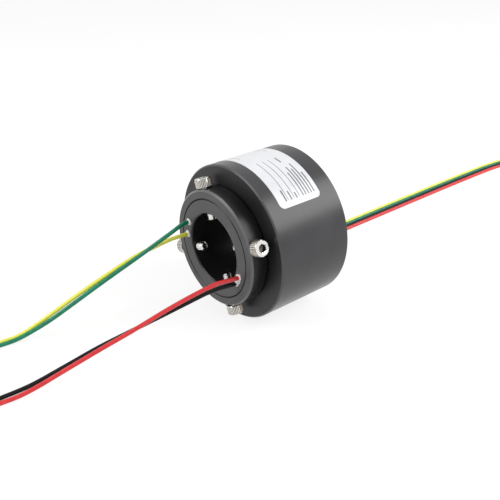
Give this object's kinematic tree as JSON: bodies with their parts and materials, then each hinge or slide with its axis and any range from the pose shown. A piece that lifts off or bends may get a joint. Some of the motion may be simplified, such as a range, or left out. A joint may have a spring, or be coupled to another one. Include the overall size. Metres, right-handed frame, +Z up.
{
  "type": "slip ring",
  "caption": "Through-bore slip ring: a black anodised housing round a turning sleeve with a screw-clamped collar, and coloured flying leads sealed into both ends.",
  "frame": {"origin": "on the bore axis, half way along the housing", "axes": "+Y along the bore axis from the clamp collar to the rear cover, +Z up as the part lies on its side"},
  "size_m": [0.0987, 0.4156, 0.0681],
  "materials": {
    "housing_black": "satin black anodised",
    "rotor_black": "satin black anodised, turned",
    "screw_steel": "bright nickel plated",
    "bearing_steel": "ground",
    "ring_steel": "phosphated spring steel",
    "cage_brass": "machined",
    "contact_gold": "gold plated",
    "insulator": "moulded",
    "block_black": "moulded",
    "sealant": "cured silicone",
    "label_silver": "satin film",
    "lead_yellow": "extruded insulation",
    "lead_green": "extruded insulation",
    "lead_red": "extruded insulation",
    "lead_black": "extruded insulation",
    "tinned_copper": "tinned strands"
  },
  "bodies": {
    "stator": {"housing": "housing_black", "rear_cover": "housing_black", "rear_cover_screws": "screw_steel", "label": "label_silver", "stator_lead_seal": "sealant", "front_outer_race": "bearing_steel", "rear_outer_race": "bearing_steel", "brush_block": "block_black", "brush_block_screws": "screw_steel", "brush_1": "contact_gold", "brush_2": "contact_gold", "brush_3": "contact_gold", "brush_4": "contact_gold", "stator_wire_yellow": "lead_yellow", "stator_wire_green": "lead_green", "stator_wire_black": "lead_black", "stator_wire_red": "lead_red", "stator_lead_yellow": "lead_yellow", "stator_lead_green": "lead_green", "stator_lead_black": "lead_black", "stator_lead_red": "lead_red", "stator_coil": "lead_black"},
    "rotor": {"rotor_sleeve": "rotor_black", "clamp_collar": "rotor_black", "clamp_screw_1": "screw_steel", "clamp_screw_2": "screw_steel", "clamp_screw_3": "screw_steel", "clamp_screw_4": "screw_steel", "rotor_seal_left": "sealant", "rotor_seal_right": "sealant", "front_inner_race": "bearing_steel", "rear_inner_race": "bearing_steel", "retaining_ring": "ring_steel", "insulator_1": "insulator", "insulator_2": "insulator", "insulator_3": "insulator", "insulator_4": "insulator", "insulator_5": "insulator", "contact_ring_1": "contact_gold", "contact_ring_2": "contact_gold", "contact_ring_3": "contact_gold", "contact_ring_4": "contact_gold", "rotor_wire_green": "lead_green", "rotor_wire_yellow": "lead_yellow", "rotor_wire_red": "lead_red", "rotor_wire_black": "lead_black", "rotor_lead_green": "lead_green", "rotor_lead_yellow": "lead_yellow", "rotor_lead_red": "lead_red", "rotor_lead_black": "lead_black", "rotor_coil_left": "lead_green", "rotor_coil_right": "lead_red"},
    "front_bearing_balls": {"front_cage": "cage_brass", "front_balls": "bearing_steel"},
    "rear_bearing_balls": {"rear_cage": "cage_brass", "rear_balls": "bearing_steel"}
  },
  "joints": [
    {"name": "rotor_spin", "type": "hinge", "parent": "stator", "child": "rotor", "pos_m": [0, 0, 0], "axis": [0, 1, 0], "continuous": true},
    {"name": "front_cage_spin", "type": "hinge", "parent": "stator", "child": "front_bearing_balls", "pos_m": [0, -0.012, 0], "axis": [0, 1, 0], "continuous": true},
    {"name": "rear_cage_spin", "type": "hinge", "parent": "stator", "child": "rear_bearing_balls", "pos_m": [0, 0.011, 0], "axis": [0, 1, 0], "continuous": true}
  ],
  "couplings": [
    {"joint": "front_cage_spin", "follows": "rotor_spin", "ratio": 0.4652},
    {"joint": "rear_cage_spin", "follows": "rotor_spin", "ratio": 0.4652}
  ]
}
